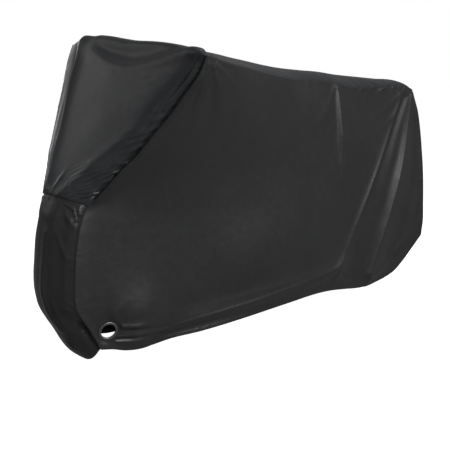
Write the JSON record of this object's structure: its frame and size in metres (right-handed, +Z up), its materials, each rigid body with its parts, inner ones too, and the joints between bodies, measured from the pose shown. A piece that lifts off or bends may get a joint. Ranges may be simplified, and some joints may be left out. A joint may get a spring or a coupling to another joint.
{
  "type": "bicycle cover",
  "caption": "Fitted cover of thin coated cloth for a parked bicycle, tented over the handlebars and gathered round the front wheel, with a lock eyelet low on each side.",
  "frame": {"origin": "the spot on the underside of the cloth where it hangs on the middle of the handlebars", "axes": "+X towards the tail, +Y towards the right side, +Z up"},
  "size_m": [1.84, 0.7841, 1.0739],
  "materials": {
    "cover_cloth": "coated weave, slightly glossy",
    "hood_cloth": "coated weave, slightly glossy, a little bluer",
    "eyelet_metal": "dark plated, satin"
  },
  "bodies": {
    "root": {"centre_panel": "hood_cloth", "front_gusset": "cover_cloth", "side_panel_left": "cover_cloth", "side_panel_right": "cover_cloth", "eyelet_patch_left": "cover_cloth", "eyelet_patch_right": "cover_cloth", "eyelet_ring_left": "eyelet_metal", "eyelet_ring_right": "eyelet_metal"}
  },
  "joints": []
}
